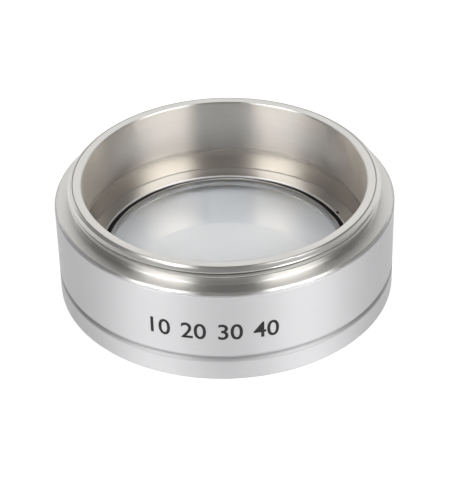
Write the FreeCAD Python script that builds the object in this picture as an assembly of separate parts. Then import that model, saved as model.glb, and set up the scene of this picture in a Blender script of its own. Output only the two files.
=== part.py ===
import FreeCAD, Part
import math
import os

# Auxiliary lens for a stereo microscope. It screws into the lower end of the microscope's
# body by the thread on top, and changes its magnification and working distance.
# Millimetres. The origin is the centre of the bottom face and +Z is up, towards the microscope.

# Outside of the barrel and the cell
body_radius = 26.1
total_height = 18.6
base_chamfer = 0.3

# Thread spigot on top, for a 48 mm by 0.75 mm thread. The stretch that carries the thread
# is at its crest radius here, and the relief below it is at its root radius.
flange_width = 2.1
thread_depth = 0.5
spigot_height = 2.9
relief_height = 1.05
runout_height = 0.3
lead_in_height = 0.45
lead_in_depth = 0.75
corner_round = 0.2
thread_radius = body_radius - flange_width
thread_root_radius = thread_radius - thread_depth
rim_radius = thread_radius - lead_in_depth

# Flange edge and the smooth bore under the rim
flange_chamfer = 0.5
spigot_wall = 1.65
edge_break = 0.15
bore_radius = thread_root_radius - spigot_wall

# Joint line between the barrel and the cell: a shallow V round the outside
joint_height = 3.96
joint_depth = 0.35
barrel_edge_round = 1.3

# Screwed joint inside: the cell's sleeve in the barrel's counterbore, which is wider than the bore
counterbore_step = 0.65
sleeve_clearance = 0.05
sleeve_lead_in = 0.3
sleeve_height = 1.89
ledge_gap = 0.05
counterbore_radius = bore_radius + counterbore_step
sleeve_radius = counterbore_radius - sleeve_clearance
ledge_height = joint_height + sleeve_height

# Seat of the lens in the cell. Below its lip, the cell's mouth widens to the bottom face.
sleeve_wall = 2.95
seat_depth = 2.55
lip_width = 1.5
lip_thickness = 0.7
mouth_flare = 3.6
seat_radius = sleeve_radius - sleeve_wall
seat_floor_height = ledge_height - seat_depth
lip_radius = seat_radius - lip_width
lip_land_height = seat_floor_height - lip_thickness
mouth_radius = lip_radius + mouth_flare

# Lens: both faces bulge, the upper one twice as strongly, for a focal length of 137 mm
seal_width = 1.0
lens_bevel = 0.15
lens_stand = 0.09
upper_curvature = 101.5
lower_curvature = 233.0
lens_radius = seat_radius - seal_width
lens_edge_height = ledge_height + lens_stand

# Black sealing compound round the lens
seal_drop = 0.25
seal_rise = 0.15
seal_outer_height = ledge_height - seal_drop
seal_inner_height = seal_outer_height + seal_rise


def at(radius, height):
    """A point of an outline, in the plane through the axis."""
    return FreeCAD.Vector(radius, 0, height)


def straight(*points):
    """The straight edges that join the points in order."""
    return [Part.LineSegment(a, b).toShape() for a, b in zip(points, points[1:])]


def arc(start, middle, end):
    """One round edge through three points."""
    return [Part.Arc(start, middle, end).toShape()]


def turned(edges):
    """The solid that a closed outline makes when it turns about the axis."""
    outline = Part.Face(Part.Wire(edges))
    return outline.revolve(FreeCAD.Vector(0, 0, 0), FreeCAD.Vector(0, 0, 1), 360)


def sagitta(curvature, radius):
    """How far a spherical face falls from its middle to that radius."""
    return curvature - math.sqrt(curvature ** 2 - radius ** 2)


def ball(curvature, centre_height):
    """Sphere on the axis. Its poles and its seam point sideways, clear of the lens's faces."""
    sphere = Part.makeSphere(curvature, FreeCAD.Vector(0, 0, 0), FreeCAD.Vector(1, 0, 0))
    sphere.rotate(FreeCAD.Vector(0, 0, 0), FreeCAD.Vector(1, 0, 0), 90)
    sphere.translate(FreeCAD.Vector(0, 0, centre_height))
    return sphere


def barrel():
    """Turned tube with the thread spigot, the flange and the counterbore for the cell."""
    flange_height = total_height - spigot_height
    relief_top = flange_height + relief_height
    runout_top = relief_top + runout_height
    counterbore_top = ledge_height + ledge_gap

    # The lower outer edge is a round that the joint face cuts off
    round_centre = body_radius - barrel_edge_round
    round_turn = math.acos(1 - joint_depth / barrel_edge_round)
    round_top = joint_height + barrel_edge_round * math.sin(round_turn)
    round_middle = at(
        round_centre + barrel_edge_round * math.cos(round_turn / 2),
        round_top - barrel_edge_round * math.sin(round_turn / 2),
    )
    joint_edge = at(body_radius - joint_depth, joint_height)

    # The corner between the relief and the flange face
    corner = at(thread_root_radius + corner_round, flange_height)
    corner_top = at(thread_root_radius, flange_height + corner_round)
    corner_inset = corner_round * (1 - math.sqrt(0.5))
    corner_middle = at(thread_root_radius + corner_inset, flange_height + corner_inset)

    edges = arc(at(body_radius, round_top), round_middle, joint_edge)
    edges += straight(
        joint_edge,
        at(counterbore_radius + sleeve_lead_in, joint_height),
        at(counterbore_radius, joint_height + sleeve_lead_in),
        at(counterbore_radius, counterbore_top),
        at(bore_radius + edge_break, counterbore_top),
        at(bore_radius, counterbore_top + edge_break),
        at(bore_radius, total_height - edge_break),
        at(bore_radius + edge_break, total_height),
        at(rim_radius, total_height),
        at(thread_radius, total_height - lead_in_height),
        at(thread_radius, runout_top),
        at(thread_root_radius, relief_top),
        corner_top,
    )
    edges += arc(corner_top, corner_middle, corner)
    edges += straight(
        corner,
        at(body_radius - flange_chamfer, flange_height),
        at(body_radius, flange_height - flange_chamfer),
        at(body_radius, round_top),
    )
    return turned(edges)


def lens_cell():
    """Turned ring with the sleeve that screws into the barrel and the seat for the lens."""
    edges = straight(
        at(lip_radius, seat_floor_height),
        at(seat_radius, seat_floor_height),
        at(seat_radius, ledge_height - edge_break),
        at(seat_radius + edge_break, ledge_height),
        at(sleeve_radius - sleeve_lead_in, ledge_height),
        at(sleeve_radius, ledge_height - sleeve_lead_in),
        at(sleeve_radius, joint_height),
        at(body_radius - joint_depth, joint_height),
        at(body_radius, joint_height - joint_depth),
        at(body_radius, base_chamfer),
        at(body_radius - base_chamfer, 0),
        at(mouth_radius, 0),
        at(lip_radius, lip_land_height),
        at(lip_radius, seat_floor_height),
    )
    return turned(edges)


def lens():
    """Glass lens with bevelled edges. Its lower face rests on the inner edge of the cell's lip."""
    clear_radius = lens_radius - lens_bevel
    top = lens_edge_height + sagitta(upper_curvature, clear_radius)
    bottom = seat_floor_height - sagitta(lower_curvature, lip_radius)
    lower_edge_height = bottom + sagitta(lower_curvature, clear_radius)

    # The blank has the bevels, and runs on a little past both faces until the spheres cut it
    blank_top = top + lens_bevel
    blank_bottom = bottom - lens_bevel
    blank = turned(straight(
        at(0, blank_bottom),
        at(clear_radius - (lower_edge_height - blank_bottom), blank_bottom),
        at(lens_radius, lower_edge_height + lens_bevel),
        at(lens_radius, lens_edge_height - lens_bevel),
        at(clear_radius - (blank_top - lens_edge_height), blank_top),
        at(0, blank_top),
        at(0, blank_bottom),
    ))
    upper_face = ball(upper_curvature, top - upper_curvature)
    lower_face = ball(lower_curvature, bottom + lower_curvature)
    return blank.common(upper_face).common(lower_face)


def sealing_ring():
    """Ring of black compound that fills the gap between the lens and its seat."""
    edges = straight(
        at(seat_radius, seal_outer_height),
        at(lens_radius, seal_inner_height),
        at(lens_radius, seat_floor_height),
        at(seat_radius, seat_floor_height),
        at(seat_radius, seal_outer_height),
    )
    return turned(edges)


os.makedirs("parts", exist_ok=True)
for piece in (barrel, lens_cell, lens, sealing_ring):
    piece().exportStep("parts/" + piece.__name__ + ".step")
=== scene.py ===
import math

import bmesh
import bpy
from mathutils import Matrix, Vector


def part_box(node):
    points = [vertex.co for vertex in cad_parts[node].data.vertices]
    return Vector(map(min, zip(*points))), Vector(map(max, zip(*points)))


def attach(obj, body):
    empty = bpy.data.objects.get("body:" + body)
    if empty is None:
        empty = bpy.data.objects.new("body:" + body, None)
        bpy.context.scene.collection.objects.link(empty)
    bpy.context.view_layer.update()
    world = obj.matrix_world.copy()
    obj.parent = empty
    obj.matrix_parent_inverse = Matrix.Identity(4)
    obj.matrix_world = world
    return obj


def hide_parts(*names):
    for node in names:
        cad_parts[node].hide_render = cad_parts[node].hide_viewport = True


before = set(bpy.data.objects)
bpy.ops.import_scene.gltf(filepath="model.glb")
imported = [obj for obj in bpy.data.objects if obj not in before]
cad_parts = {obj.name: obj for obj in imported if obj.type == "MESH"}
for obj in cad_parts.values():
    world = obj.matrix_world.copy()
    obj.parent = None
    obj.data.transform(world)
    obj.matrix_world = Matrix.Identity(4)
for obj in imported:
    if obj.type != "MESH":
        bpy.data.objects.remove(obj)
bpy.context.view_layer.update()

MM = 0.001


# Camera: a long lens a little above the object, on the side of the numbers. Its place and aim come from
# a fit of the rings that the photo shows.
scene = bpy.context.scene
camera = bpy.data.objects.new("camera", bpy.data.cameras.new("camera"))
camera.data.sensor_width = 36.0
camera.data.lens = 136.02
camera.data.clip_start = 0.01
camera.data.clip_end = 20.0
camera.location = (0, -0.24212, 0.17948)
camera.rotation_euler = [math.radians(angle) for angle in (54.14224, 1.18852, -0.82670)]
scene.collection.objects.link(camera)
scene.camera = camera
scene.view_settings.view_transform = "Standard"
scene.cycles.blur_glossy = 0.0


# Shader sums. A Socket is a value that varies over a surface, and Nodes is the node tree that it belongs
# to. Every node comes from Nodes.node, which sets the node up and then feeds its sockets.
class Socket:
    def __init__(self, nodes, output):
        self.nodes = nodes
        self.output = output

    def math(self, operation, *others):
        return self.nodes.node("Math", {"operation": operation}, dict(enumerate((self, *others))))

    def clamp(self, low, high):
        return self.nodes.node("Clamp", {}, {"Value": self, "Min": low, "Max": high})

    def darkened(self, share):
        """A colour times a share that varies."""
        factor, colour, other_colour, mixed_colour = 0, 6, 7, 2
        inputs = {factor: 1.0, colour: self, other_colour: share}
        return self.nodes.node("Mix", {"data_type": "RGBA", "blend_type": "MULTIPLY"}, inputs, mixed_colour)

    def __add__(self, other):
        return self.math("ADD", other)

    def __sub__(self, other):
        return self.math("SUBTRACT", other)

    def __rsub__(self, other):
        return self.nodes.node("Math", {"operation": "SUBTRACT"}, {0: other, 1: self})

    def __mul__(self, other):
        return self.math("MULTIPLY", other)

    def __truediv__(self, other):
        return self.math("DIVIDE", other)

    def __rtruediv__(self, other):
        return self.nodes.node("Math", {"operation": "DIVIDE"}, {0: other, 1: self})

    __radd__ = __add__
    __rmul__ = __mul__


class Nodes:
    def __init__(self, tree, end):
        self.tree = tree
        tree.nodes.clear()
        self.end = tree.nodes.new("ShaderNodeOutput" + end)

    def node(self, kind, settings, inputs, output=0):
        made = self.tree.nodes.new("ShaderNode" + kind)
        for name, value in settings.items():
            if name == "stops":
                while len(made.color_ramp.elements) < len(value):
                    made.color_ramp.elements.new(0.5)
                for element, (place, colour) in zip(made.color_ramp.elements, value):
                    element.position = place
                    element.color = (*colour, 1)
            else:
                setattr(made, name, value)
        for name, value in inputs.items():
            if isinstance(value, Socket):
                self.tree.links.new(value.output, made.inputs[name])
            else:
                made.inputs[name].default_value = value
        return Socket(self, made.outputs[output])

    def surface(self, shader):
        self.tree.links.new(shader.output, self.end.inputs["Surface"])


class Finish(Nodes):
    """The material of one finish."""

    def __init__(self, name):
        self.material = bpy.data.materials.new(name)
        self.material.use_nodes = True
        super().__init__(self.material.node_tree, "Material")

    def place(self):
        return self.node("TexCoord", {}, {}, "Object")

    def along(self, axis):
        return self.node("SeparateXYZ", {}, {"Vector": self.place()}, axis)

    def noise(self, place, scale, detail):
        return self.node("TexNoise", {}, {"Vector": place, "Scale": scale, "Detail": detail})

    def principled(self, inputs):
        return self.node("BsdfPrincipled", {}, inputs)


# Studio: a pale card under the object, a tall soft light at the left and one at the right in front, with a
# weak one in the gap where the camera stands, a broad panel behind, and a dim room round it all. The card
# and the room look white to the camera alone.
def card():
    half = 0.45
    mesh = bpy.data.meshes.new("floor")
    corners = [(-half, -half, 0), (half, -half, 0), (half, half, 0), (-half, half, 0)]
    mesh.from_pydata(corners, [], [(0, 1, 2, 3)])
    floor = bpy.data.objects.new("floor", mesh)
    scene.collection.objects.link(floor)

    paper = Finish("card")
    grain = paper.node("TexNoise", {}, {"Scale": 900.0, "Detail": 3.0})
    bump = paper.node("Bump", {}, {"Strength": 0.05, "Distance": 0.0002, "Height": grain})
    seen = 0.47 * paper.node("LightPath", {}, {}, "Is Camera Ray")
    white = paper.node("CombineColor", {}, {"Red": seen, "Green": seen, "Blue": seen})
    paper.surface(paper.principled({
        "Base Color": (0.7, 0.7, 0.695, 1), "Roughness": 0.9, "Specular IOR Level": 0.2,
        "Emission Color": white, "Emission Strength": 1.0, "Normal": bump,
    }))
    mesh.materials.append(paper.material)


def dim_room():
    world = scene.world or bpy.data.worlds.new("world")
    scene.world = world
    world.use_nodes = True
    room = Nodes(world.node_tree, "World")
    dim = room.node("Background", {}, {"Color": (0.21, 0.21, 0.215, 1)})
    white = room.node("Background", {}, {"Color": (1, 1, 1, 1)})
    seen = room.node("LightPath", {}, {}, "Is Camera Ray")
    room.surface(room.node("MixShader", {}, {0: seen, 1: dim, 2: white}))


def upright_light(name, azimuth, low, high, width, radiance):
    """Upright soft panel that faces the object. A mirror shows a radiance of 1 as white."""
    distance = 1.2
    turn = math.radians(azimuth)
    lamp = bpy.data.lights.new(name, "AREA")
    lamp.shape = "RECTANGLE"
    lamp.size = width
    lamp.size_y = high - low
    lamp.energy = radiance * math.pi * width * (high - low)
    panel = bpy.data.objects.new(name, lamp)
    panel.location = (math.sin(turn) * distance, -math.cos(turn) * distance, (low + high) / 2)
    panel.rotation_euler = (math.radians(90), 0, turn)
    scene.collection.objects.link(panel)


card()
dim_room()
for side, azimuth, width in (("left", -47, 0.86), ("right", 50, 0.96)):
    upright_light(side + "_light_low", azimuth, 0.0, 0.56, width, 1.1)
    upright_light(side + "_light_high", azimuth, 0.56, 1.75, width, 5.6)
upright_light("back_panel", 180, 0.0, 2.7, 3.4, 0.85)
upright_light("front_fill", 0, 0.5, 2.4, 0.55, 0.16)


# Barrel. One turned aluminium tube, with the fine thread cut on its spigot. The outside is satin and
# anodised, and the rest is left as it came from the lathe, warm and with fine turning marks.
SEGMENTS = 720
PAINT_ROOM = 0.01

# Sections are in mm, as (radius, height). The main sizes come from the CAD pieces' boxes.
body_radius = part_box("barrel")[1][0] / MM
joint_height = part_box("barrel")[0][2] / MM
total_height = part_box("barrel")[1][2] / MM
ledge_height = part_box("lens_cell")[1][2] / MM
seat_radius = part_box("sealing_ring")[1][0] / MM
seat_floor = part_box("sealing_ring")[0][2] / MM

flange_height = total_height - 2.9
crest_radius = body_radius - 2.1
relief_radius = crest_radius - 0.5
rim_radius = crest_radius - 0.75
thread_foot = flange_height + 1.05
bore_radius = relief_radius - 1.65
counterbore_radius = bore_radius + 0.65
joint_depth = 0.35
joint_lead_in = 0.3
edge_break = 0.15


def outline(*corners):
    """Points of a turned section. A corner is (radius, height) or (radius, height, round)."""
    run_in = 0.02
    points = []
    for i, corner in enumerate(corners):
        here = Vector(corner[:2])
        if len(corner) < 3:
            points.append(here)
            continue
        before = (Vector(corners[i - 1][:2]) - here).normalized()
        after = (Vector(corners[(i + 1) % len(corners)][:2]) - here).normalized()
        half = before.angle(after) / 2
        reach = corner[2] / math.tan(half)
        centre = here + (before + after).normalized() * (corner[2] / math.sin(half))
        first = here + before * reach - centre
        last = here + after * reach - centre
        turn = first.angle(last)
        points.append(here + before * (reach + run_in))
        for share in (0, 0.25, 0.5, 0.75, 1):
            spoke = first * math.sin((1 - share) * turn) + last * math.sin(share * turn)
            points.append(centre + spoke / math.sin(turn))
        points.append(here + after * (reach + run_in))
    return points


def at(radius, turn, height):
    """A place in metres, from a radius and height in mm and a turn from +X."""
    return radius * MM * math.cos(turn), radius * MM * math.sin(turn), height * MM


def in_front(radius, azimuth, height):
    """A place in metres, from a radius and height in mm and an azimuth from the camera's side."""
    return Vector((radius * MM * math.sin(azimuth), -radius * MM * math.cos(azimuth), height * MM))


def turned(points, closed=True, segments=SEGMENTS):
    """Mesh that a section makes when it turns about the axis."""
    work = bmesh.new()
    rings = []
    for radius, height in points:
        if radius == 0:
            rings.append([work.verts.new((0, 0, height * MM))] * segments)
        else:
            turns = [2 * math.pi * i / segments for i in range(segments)]
            rings.append([work.verts.new(at(radius, turn, height)) for turn in turns])
    if closed:
        rings.append(rings[0])
    for low, high in zip(rings, rings[1:]):
        for i in range(segments):
            k = (i + 1) % segments
            corners = list(dict.fromkeys((low[i], low[k], high[k], high[i])))
            if len(corners) > 2:
                work.faces.new(corners)
    return work


def placed(name, work, materials):
    """Object from a mesh in work, with its materials. It rides on the part's one body."""
    mesh = bpy.data.meshes.new(name)
    work.to_mesh(mesh)
    work.free()
    for material in materials:
        mesh.materials.append(material)
    piece = bpy.data.objects.new(name, mesh)
    scene.collection.objects.link(piece)
    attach(piece, "root")
    return piece


def finished(name, work, materials, node, pick=None):
    """Smooth piece that stands for its CAD node. pick gives a face's material by its place."""
    bmesh.ops.remove_doubles(work, verts=work.verts, dist=0.001 * MM)
    bmesh.ops.recalc_face_normals(work, faces=work.faces)
    if pick:
        for face in work.faces:
            centre = face.calc_center_median()
            face.material_index = pick(centre.xy.length / MM, centre.z / MM)
    piece = placed(name, work, materials)
    piece.data.shade_smooth()
    piece.data.set_sharp_from_angle(angle=math.radians(30))
    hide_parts(node)


class TurnedMetal(Finish):
    """Turned metal: fine marks that run round the axis, and a tone that is broken by bands and clouds.
    Grit adds a fine roughness between the marks. The marks' depth is in mm."""

    def __init__(self, name, colour, roughness, mark_depth, spread, grit=0.0, uneven=1.0):
        super().__init__(name)
        place = self.place()
        x, y, self.z = self.along("X"), self.along("Y"), self.along("Z")
        self.radius = (x * x + y * y).math("POWER", 0.5)
        self.spread = spread

        # The pattern is long round the axis and short across the marks
        across = self.radius + self.z
        marks_place = self.node("CombineXYZ", {}, {"X": x * 12, "Y": y * 12, "Z": across * 9000})
        bands_place = self.node("CombineXYZ", {}, {"X": x * 6, "Y": y * 6, "Z": across * 2200})
        marks = self.noise(marks_place, 1.0, 2.0)
        bands = self.noise(bands_place, 1.0, 2.0)
        clouds = self.noise(place, 140.0, 4.0)

        dark = [c * (1 - 0.05 * uneven) for c in colour]
        light = [c * (1 + 0.03 * uneven) for c in colour]
        mixed = 0.6 * bands + 0.4 * clouds
        self.tone = self.node("ValToRGB", {"stops": [(0.3, dark), (0.7, light)]}, {"Fac": mixed})
        self.roughness = roughness + 0.05 * uneven * (bands - 0.5) + 0.05 * (clouds - 0.5)
        height = 0.6 * marks + 0.4 * bands
        if grit:
            height = height + grit * (clouds + self.noise(place, 2600.0, 2.0))
        self.bump = self.node("Bump", {}, {"Strength": 1.0, "Distance": mark_depth * MM, "Height": height})

    def metal(self, roughness, spread):
        """The shader. It spreads light across the marks more than along them."""
        return self.principled({
            "Base Color": self.tone, "Roughness": roughness, "Normal": self.bump, "Metallic": 1.0,
            "Anisotropic": spread, "Anisotropic Rotation": 0.25,
        })

    def done(self):
        self.surface(self.metal(self.roughness, self.spread))
        return self.material


def satin_skin():
    """The anodised outside. It has painted shade in and just above the V joint, and it is darker on the
    skin's edge on the chamfer.
    """
    skin = TurnedMetal("satin_outside", (0.745, 0.738, 0.748), 0.6, 0.00001, 0.68, uneven=0.25)
    # Painted shade in the V joint: the tone drops to about half at the joint and is back to full within about
    # 0.74 mm of it
    from_joint = (skin.z - (joint_height + 0.04) * MM).math("ABSOLUTE")
    on_chamfer = skin.z.math("GREATER_THAN", (flange_height - 0.46) * MM)
    skin.tone = skin.tone.darkened((from_joint * 650.0 + 0.52).math("MINIMUM", 1.0) - 0.25 * on_chamfer)
    return skin.done()


def cut_thread():
    """The thread's turns. Their roots have painted shade, but not on the lead-in at the top."""
    metal = TurnedMetal("cut_thread", (0.66, 0.65, 0.625), 0.3, 0.0012, 0.8, grit=0.5)
    # Painted shade in the roots: the tone darkens towards the root radius, down to 0.42 of itself
    from_root = (metal.radius - relief_radius * MM) * 3500.0
    on_lead_in = ((metal.z - (total_height - 0.55) * MM) * 9000.0).math("MAXIMUM", 0.0)
    metal.tone = metal.tone.darkened((from_root + on_lead_in).clamp(0.42, 1.0))
    return metal.done()


def fine_bore():
    """The bore's wall. Its upper part is rougher, so it spreads the lights into tall streaks."""
    metal = TurnedMetal("bored_aluminium", (0.8, 0.765, 0.715), 0.18, 0.00003, 0.95)
    rougher = metal.metal(metal.roughness + 0.17, 1.0)
    share = ((metal.z - (ledge_height + 3.15) * MM) * 900.0).clamp(0.0, 1.0) * 0.8
    smooth = metal.metal(metal.roughness, metal.spread)
    metal.surface(metal.node("MixShader", {}, {0: share, 1: smooth, 2: rougher}))
    return metal.material


def thread_turns(work):
    """The male thread, 0.75 mm a turn, with its run-out below and its lead-in above."""
    pitch = 0.75
    root_radius = relief_radius + 0.04
    lead_in_height = 0.45
    lead_in_groove = 0.1
    run_out_height = 0.3

    # One turn as shares of the pitch and of the depth: flat crest, softened flanks and flat root
    form = [(0, 0), (0.11, 0), (0.20, 0.32), (0.30, 0.68), (0.39, 1)]
    form += [(0.5, 1), (0.61, 1), (0.70, 0.68), (0.80, 0.32), (0.89, 0)]
    rows = []
    for turn in range(-1, int((total_height - thread_foot) / pitch) + 2):
        rows += [((turn + share) * pitch, depth) for share, depth in form]

    columns = []
    for i in range(SEGMENTS):
        column = []
        for rise, depth in rows:
            height = thread_foot + rise + pitch * i / SEGMENTS
            height = min(max(height, thread_foot), total_height)
            below_rim = (total_height - height) / lead_in_height
            lead_in = rim_radius + below_rim * (crest_radius - rim_radius) - lead_in_groove * depth
            above_foot = (height - thread_foot) / run_out_height
            run_out = relief_radius + above_foot * (crest_radius - relief_radius)
            radius = min(crest_radius - depth * (crest_radius - root_radius), lead_in, run_out)
            column.append(work.verts.new(at(radius, 2 * math.pi * i / SEGMENTS, height)))
        columns.append(column)

    # The last column joins the first one a whole turn higher
    for i in range(SEGMENTS):
        right = columns[(i + 1) % SEGMENTS]
        shift = 0 if i + 1 < SEGMENTS else len(form)
        for j in range(len(rows) - 1 - shift):
            k = j + shift
            work.faces.new((columns[i][j], right[k], right[k + 1], columns[i][j + 1]))
    bmesh.ops.dissolve_degenerate(work, dist=0.0001 * MM, edges=work.edges)


def waver(work, skin_edge):
    """The skin ends part way up the flange's chamfer, on an edge that wavers."""
    for vert in work.verts:
        if abs(vert.co.z / MM - skin_edge) < 0.01 and vert.co.xy.length > (body_radius - 0.6) * MM:
            angle = math.atan2(vert.co.y, vert.co.x)
            shift = 0.03 * math.sin(9 * angle) + 0.03 * math.sin(31 * angle + 1) + 0.03 * math.sin(83 * angle)
            vert.co.z += shift * MM
            vert.co.xy *= 1 - shift * MM / vert.co.xy.length


def barrel():
    body = body_radius - PAINT_ROOM
    chamfer = 0.5
    skin_edge = flange_height - 0.27
    counterbore_top = ledge_height + 0.05

    # The lower outer edge is a round that the joint face cuts off. One more point, a little above it,
    # keeps the wall's shading flat
    edge_round = 1.3
    whole_turn = math.acos(1 - joint_depth / edge_round)
    round_centre = (body - edge_round, joint_height + edge_round * math.sin(whole_turn))
    round_points = []
    for step in range(1, 12):
        turn = whole_turn * (1 - step / 11)
        across, down = edge_round * math.cos(turn), edge_round * math.sin(turn)
        round_points.append((round_centre[0] + across, round_centre[1] - down))

    points = outline(
        (rim_radius, total_height),
        (bore_radius + edge_break, total_height, 0.04),
        (bore_radius, total_height - edge_break, 0.04),
        (bore_radius, counterbore_top + 0.1),
        (bore_radius + 0.03, counterbore_top + 0.04),
        (bore_radius + 0.09, counterbore_top),
        (counterbore_radius, counterbore_top),
        (counterbore_radius, joint_height + joint_lead_in),
        (counterbore_radius + joint_lead_in, joint_height),
        (body - joint_depth, joint_height, 0.03),
        *round_points,
        (body, joint_height + 0.94),
        (body, flange_height - chamfer, 0.12),
        (body - 0.23, skin_edge),
        (body - chamfer, flange_height, 0.06),
        (relief_radius, flange_height, 0.2),
        (relief_radius, thread_foot),
    )
    work = turned(points, closed=False)
    thread_turns(work)
    waver(work, skin_edge)

    bright = TurnedMetal("turned_aluminium", (0.66, 0.65, 0.625), 0.36, 0.0005, 0.95, grit=1.0)
    faced = TurnedMetal("faced_rim", (0.655, 0.64, 0.61), 0.32, 0.00004, 0.4)
    materials = [satin, bright.done(), cut_thread(), fine_bore(), faced.done()]
    skin, lathe, thread, wall, rim = range(5)

    # The wall's sharp foot is satin too, so it doesn't flash
    def pick(radius, height):
        if radius > body - 0.39 and height < skin_edge:
            return skin
        if radius < bore_radius + 0.08 and counterbore_top < height < counterbore_top + 0.1:
            return skin
        if radius < bore_radius + 0.05 and height > counterbore_top + 0.1:
            return wall
        if radius < rim_radius + 0.05 and height > total_height - 0.05:
            return rim
        if radius > relief_radius - 0.1 and height > thread_foot - 0.05:
            return thread
        return lathe

    finished("barrel_turned", work, materials, "barrel", pick)


satin = satin_skin()
barrel()


# Numbers. A plain row of numbers in black paint on the satin skin. The flat row is cut every quarter of
# a millimetre, so that it can follow the round of the barrel.
def numbers():
    curve = bpy.data.curves.new("numbers", "FONT")
    curve.body = "10 20 30 40"
    curve.size = 3.9 * MM
    curve.align_x = "CENTER"
    curve.offset = 0.045 * MM
    curve.space_word = 1.35
    flat = bpy.data.objects.new("flat_numbers", curve)
    mesh = bpy.data.meshes.new_from_object(flat)
    work = bmesh.new()
    work.from_mesh(mesh)
    bpy.data.objects.remove(flat)
    bpy.data.meshes.remove(mesh)

    step = 0.25 * MM
    for i in range(-50, 51):
        geometry = work.verts[:] + work.edges[:] + work.faces[:]
        bmesh.ops.bisect_plane(work, geom=geometry, plane_co=(i * step, 0, 0), plane_no=(1, 0, 0))
    middle = math.radians(-5.2)
    foot_height = 7.65
    for vert in work.verts:
        azimuth = vert.co.x / (body_radius * MM) + middle
        vert.co = in_front(body_radius, azimuth, vert.co.y / MM + foot_height)

    paint = Finish("black_paint")
    grain = paint.noise(paint.place(), 3000.0, 2.0)
    stops = [(0.2, (0.004, 0.004, 0.005)), (0.9, (0.02, 0.02, 0.021))]
    tone = paint.node("ValToRGB", {"stops": stops}, {"Fac": grain})
    paint.surface(paint.principled({"Base Color": tone, "Roughness": 0.5 + 0.2 * grain}))
    placed("number_row", work, [paint.material])


numbers()


# Nicks. A few tiny burrs of bare metal that catch the light on the flange, where the part has been
# handled. Each is a small lump that is flattened and made uneven.
def nicks():
    work = bmesh.new()
    places_and_sizes = ((54.4, 24.2, 0.07), (47.1, 24.16, 0.07), (45.9, 24.2, 0.05), (41.1, 24.4, 0.05),
                        (40.2, 24.3, 0.04), (-8, 24.1, 0.04), (-52, 24.5, 0.04))
    for azimuth, radius, size in places_and_sizes:
        foot = in_front(radius, math.radians(azimuth), flange_height)
        for vert in bmesh.ops.create_icosphere(work, subdivisions=2, radius=size * MM)["verts"]:
            x, y, z = vert.co
            wobble = 1 + 0.3 * math.sin(x * 90000 + azimuth) * math.cos(y * 70000)
            vert.co = Vector((x * 1.5 * wobble, y * wobble, z * 0.8)) + foot

    burr = Finish("bright_burr")
    grain = burr.noise(burr.place(), 9000.0, 1.0)
    stops = [(0.2, (0.8, 0.8, 0.79)), (0.9, (0.95, 0.95, 0.94))]
    tone = burr.node("ValToRGB", {"stops": stops}, {"Fac": grain})
    burr.surface(burr.principled({"Base Color": tone, "Roughness": 0.3 + 0.2 * grain, "Metallic": 1.0}))
    placed("nicks", work, [burr.material])


nicks()


# Lens cell. The turned ring that screws up into the barrel from below. Its band carries on the line
# of the outside under the V joint, and its top is the bright ledge round the lens.
lip_radius = seat_radius - 1.5


def lens_cell():
    sleeve_radius = counterbore_radius - 0.05
    base_chamfer = 0.3
    points = outline(
        (lip_radius, seat_floor, 0.03),
        (seat_radius, seat_floor),
        (seat_radius, ledge_height - edge_break, 0.05),
        (seat_radius + edge_break, ledge_height, 0.05),
        (sleeve_radius - joint_lead_in, ledge_height, 0.05),
        (sleeve_radius, ledge_height - joint_lead_in),
        (sleeve_radius, joint_height),
        (body_radius - joint_depth, joint_height),
        (body_radius, joint_height - joint_depth, 0.08),
        (body_radius, base_chamfer, 0.06),
        (body_radius - base_chamfer, 0.0, 0.06),
        (lip_radius + 3.6, 0.0, 0.1),
        (lip_radius, seat_floor - 0.7, 0.05),
    )

    ledge = TurnedMetal("ledge_aluminium", (0.54, 0.52, 0.49), 0.42, 0.0001, 0.85)
    skin, lathe = 0, 1

    def pick(radius, height):
        on_band = radius > body_radius - 1.1 and height < joint_height - 0.01
        on_lip = radius < sleeve_radius - 0.75 and height < seat_floor + 0.05
        on_seat_edge = radius < seat_radius + 0.14 and height > ledge_height - 0.25
        return skin if on_band or on_lip or on_seat_edge else lathe

    finished("lens_cell_turned", turned(points), [satin, ledge.done()], "lens_cell", pick)


lens_cell()


# Lens. Ground and polished glass, both faces convex, with bevelled edges and a thin coating that
# tints what it mirrors. It rests on the cell's lip. Its side is ground, and shows grey through the glass.
lens_radius = seat_radius - 1.0


def coated_glass():
    glass = Finish("coated_glass")
    dust = glass.noise(glass.place(), 700.0, 2.0)
    polished = glass.principled({
        "Base Color": (0.925, 0.94, 0.955, 1), "Roughness": 0.01 + 0.02 * dust, "IOR": 1.62,
        "Specular Tint": (1.0, 0.8, 0.5, 1), "Transmission Weight": 1.0,
    })
    clear = glass.node("BsdfTransparent", {}, {"Color": (0.27, 0.268, 0.264, 1)})
    shadow = glass.node("LightPath", {}, {}, "Is Shadow Ray")
    glass.surface(glass.node("MixShader", {}, {0: shadow, 1: polished, 2: clear}))
    return glass.material


def ground_edge():
    foot, rise = 2.75 * MM, 3.2 * MM
    ground = Finish("ground_edge")
    pits = ground.noise(ground.place(), 4000.0, 2.0)
    # Painted light and shade: the ground side is coloured lighter at its foot and darker towards its top
    level = (ground.along("Z") - foot) / rise + 0.1 * (pits - 0.5)
    stops = [(0.0, (0.75, 0.75, 0.75)), (1.0, (0.4, 0.4, 0.4))]
    tone = ground.node("ValToRGB", {"stops": stops}, {"Fac": level})
    bump = ground.node("Bump", {}, {"Strength": 0.3, "Distance": 0.00003, "Height": pits})
    ground.surface(ground.principled({"Base Color": tone, "Roughness": 0.8, "Normal": bump}))
    return ground.material


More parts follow.
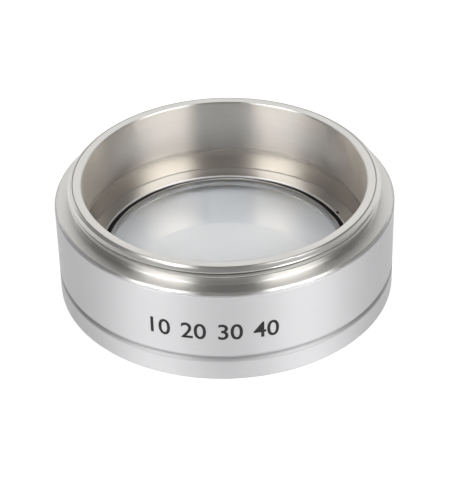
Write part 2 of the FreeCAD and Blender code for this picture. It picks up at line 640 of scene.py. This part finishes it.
def lens():
    upper_curvature, lower_curvature = 101.5, 233.0
    bevel = 0.15
    clear_radius = lens_radius - bevel
    edge_height = ledge_height + 0.09

    def sag(curvature, radius):
        return curvature - math.sqrt(curvature ** 2 - radius ** 2)

    top = edge_height + sag(upper_curvature, clear_radius)
    bottom = seat_floor - sag(lower_curvature, lip_radius)
    steps = 48
    radii = [clear_radius * i / steps for i in range(steps + 1)]
    points = [(radius, top - sag(upper_curvature, radius)) for radius in radii]
    points.append((lens_radius, edge_height - bevel))
    points.append((lens_radius, bottom + sag(lower_curvature, clear_radius) + bevel))
    points += [(radius, bottom + sag(lower_curvature, radius)) for radius in reversed(radii)]

    def pick(radius, height):
        polished, ground = 0, 1
        on_side = radius > lens_radius - 0.05
        on_lip = radius > lip_radius - 0.05 and height < seat_floor + 0.9
        return ground if on_side or on_lip else polished

    work = turned(points, closed=False, segments=360)
    finished("lens_polished", work, [coated_glass(), ground_edge()], "lens", pick)


lens()


# Sealing ring. Black compound run into the gap between the lens and its seat, with a slightly
# hollow top where it drew back as it set. A crumb of it is stuck on the ledge's edge.
def black_compound():
    """The compound. It has a grey inner part of painted light, which is broader towards the back."""
    black = Finish("black_compound")
    lumps = black.noise(black.place(), 1500.0, 3.0)
    x, y = black.along("X"), black.along("Y")
    radius = (x * x + y * y).math("POWER", 0.5)
    # Painted light: the inner part is coloured grey, and the grey widens towards the back until the back is
    # grey nearly all across
    behind = (y / radius).math("MAXIMUM", 0.0)
    black_width = 0.72 * MM * (1 - behind.math("POWER", 4.0))
    inward = (seat_radius * MM - black_width - radius) * 9000.0 + 0.3 * (lumps - 0.5)
    stops = [(0.0, (0.008, 0.007, 0.007)), (0.4, (0.06, 0.058, 0.056)), (1.0, (0.4, 0.39, 0.38))]
    tone = black.node("ValToRGB", {"stops": stops}, {"Fac": inward})
    bump = black.node("Bump", {}, {"Strength": 0.4, "Distance": 0.00005, "Height": lumps})
    black.surface(black.principled({
        "Base Color": tone, "Roughness": 0.6 + 0.2 * lumps, "Specular IOR Level": 0.12, "Normal": bump,
    }))
    return black.material


def sealing_ring(material):
    outer_height = ledge_height - 0.25

    # The hollow top, as distances inwards from the seat and rises above its outer edge
    top = [(0.0, 0.0), (0.2, -0.04), (0.4, -0.04), (0.6, 0.0), (0.8, 0.08), (1.0, 0.16)]
    points = [(seat_radius - inward, outer_height + rise) for inward, rise in top]
    points += [(lens_radius, seat_floor), (seat_radius, seat_floor)]
    work = turned(points)
    for vert in work.verts:
        if vert.co.z > (ledge_height - 0.85) * MM:
            angle = math.atan2(vert.co.x, -vert.co.y)
            behind = max(0, -math.cos(angle) - 0.4) / 0.6
            wave = 0.04 * math.sin(5 * angle + 1) + 0.03 * math.sin(11 * angle)
            wave += 0.02 * math.sin(23 * angle + 2)
            vert.co.z += (wave - 0.1 * behind) * MM
    finished("sealing_ring_set", work, [material], "sealing_ring")


def crumb(material):
    work = bmesh.new()
    azimuth = math.radians(114)
    for vert in bmesh.ops.create_icosphere(work, subdivisions=3, radius=0.18 * MM)["verts"]:
        x, y, z = vert.co
        wobble = 1 + 0.25 * math.sin(x * 21000 + 1) * math.cos(y * 26000)
        outward = x * wobble / MM + seat_radius + 0.25
        place = in_front(outward, azimuth, z * 0.7 / MM + ledge_height + 0.03)
        along = Vector((math.cos(azimuth), math.sin(azimuth), 0))
        vert.co = place + along * (y * 1.8 * wobble)
    piece = placed("compound_crumb", work, [material])
    piece.data.shade_smooth()


compound = black_compound()
sealing_ring(compound)
crumb(compound)
